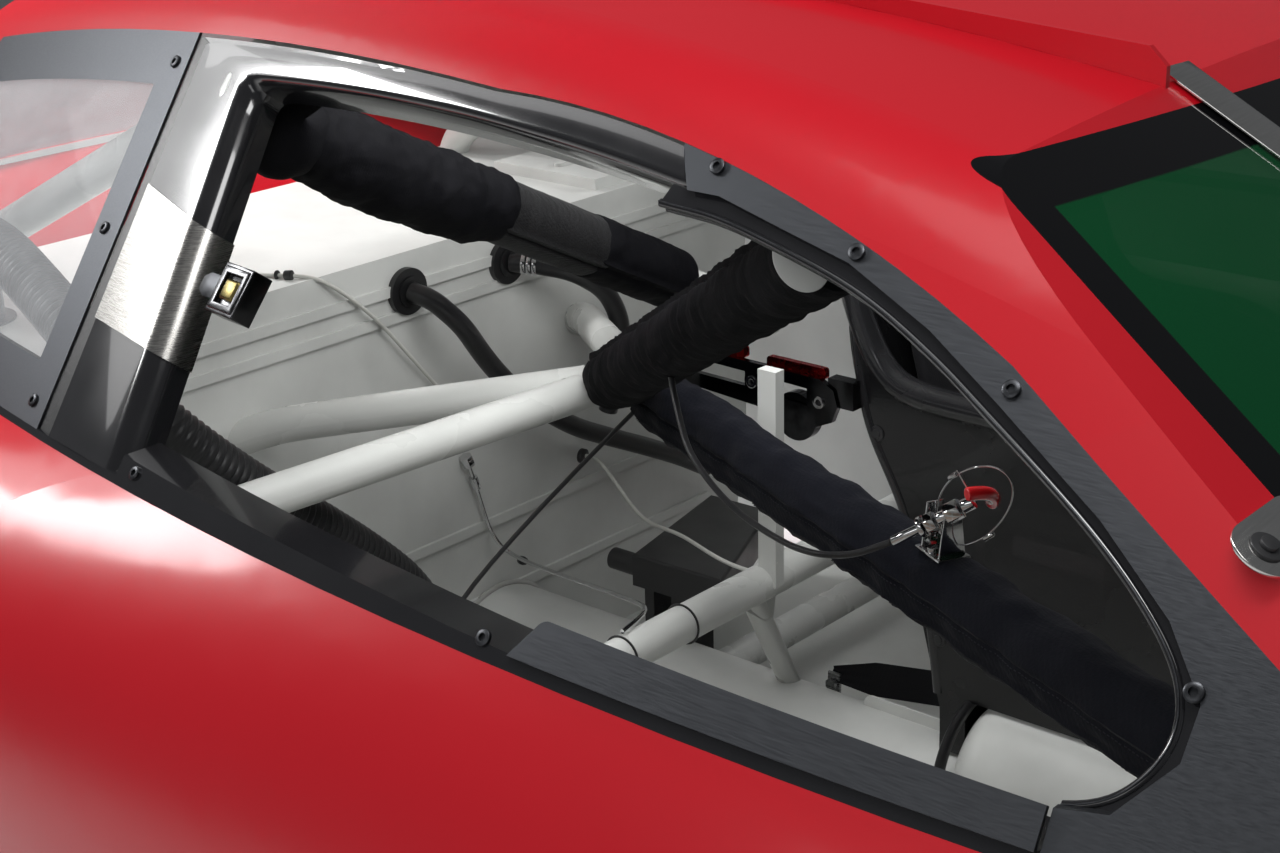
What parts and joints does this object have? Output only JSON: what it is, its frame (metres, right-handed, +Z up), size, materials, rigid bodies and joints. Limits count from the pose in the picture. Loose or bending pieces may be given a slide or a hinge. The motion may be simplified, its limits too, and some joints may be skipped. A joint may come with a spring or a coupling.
{
  "type": "stock car cabin section",
  "caption": "Centre section of a closed-top racing stock car: roll cage on box rails, red roof and side skins, glass, window trims, seat and steering wheel.",
  "frame": {"origin": "centreline, on the underside of the cross member under the seat, level with the underside of the frame rails", "axes": "+X forward, +Y to the left, +Z up"},
  "size_m": [2.62, 1.897, 1.2538],
  "materials": {
    "cage_paint": "satin light grey",
    "tin_paint": "satin off-white",
    "pad_cloth": "black woven cloth over foam",
    "red_paint": "gloss red",
    "tinted_glass": "green tinted",
    "clear_glass": "clear with faint haze",
    "dark_aluminium": "brushed dark anodised",
    "black_gloss": "gloss black",
    "bright_aluminium": "polished",
    "seat_black": "gloss black",
    "seat_cloth": "black cloth over foam",
    "foam": "pale energy foam",
    "red_anodised": "red anodised",
    "webbing": "black woven webbing",
    "black_rubber": "satin black",
    "black_satin": "satin black",
    "steel": "satin"
  },
  "bodies": {
    "section": {"frame_rails": "cage_paint", "floor_pan": "tin_paint", "rear_bulkhead": "tin_paint", "package_tray": "tin_paint", "firewall": "tin_paint", "main_hoop": "cage_paint", "roof_halo": "cage_paint", "door_bars": "cage_paint", "dash_bar": "cage_paint", "side_braces": "cage_paint", "rear_braces": "cage_paint", "seat_mount": "cage_paint", "pad_diagonal": "pad_cloth", "pad_upper": "pad_cloth", "pad_lower": "pad_cloth", "roof_panel": "red_paint", "windshield": "tinted_glass", "rear_window": "clear_glass", "quarter_frames": "dark_aluminium", "quarter_windows": "clear_glass", "b_pillar_covers": "black_gloss", "header_trims": "black_gloss", "a_pillar_plates": "dark_aluminium", "sill_plates": "dark_aluminium", "sill_trims": "black_gloss", "pillar_sleeves": "bright_aluminium", "door_skins": "red_paint", "quarter_skins": "red_paint", "seat_shell": "seat_black", "steering_column": "steel", "tunnel": "tin_paint", "gearbox_cover": "tin_paint", "rear_deck": "red_paint", "dash_panel": "black_satin", "roof_rails": "red_paint", "screen_straps": "bright_aluminium", "net_latches": "black_satin", "door_foam": "foam", "seat_cover": "seat_cloth", "seat_brace": "bright_aluminium", "brace_clamps": "red_anodised", "lap_belt": "webbing", "pull_handle": "steel", "pull_cable": "black_rubber", "catch_box": "black_satin", "oil_hoses": "black_rubber", "hose_grommets": "black_rubber", "air_hose": "black_rubber", "hose_collars": "black_satin", "steel_lines": "steel"},
    "steering_wheel": {"steering_wheel": "seat_black"},
    "roof_flap_right": {"roof_flap_right": "red_paint"},
    "roof_flap_left": {"roof_flap_left": "red_paint"}
  },
  "joints": [
    {"name": "steering_turn", "type": "hinge", "parent": "section", "child": "steering_wheel", "pos_m": [0.76, 0.37, 0.8], "axis": [-0.958, 0, 0.2867], "range_deg": [-450, 450]},
    {"name": "flap_right_lift", "type": "hinge", "parent": "section", "child": "roof_flap_right", "pos_m": [-0.186, -0.245, 1.207], "axis": [0, 0.9994, 0.035], "range_deg": [0, 80]},
    {"name": "flap_left_lift", "type": "hinge", "parent": "section", "child": "roof_flap_left", "pos_m": [-0.186, 0.245, 1.207], "axis": [0, 0.9994, -0.035], "range_deg": [0, 80]}
  ]
}
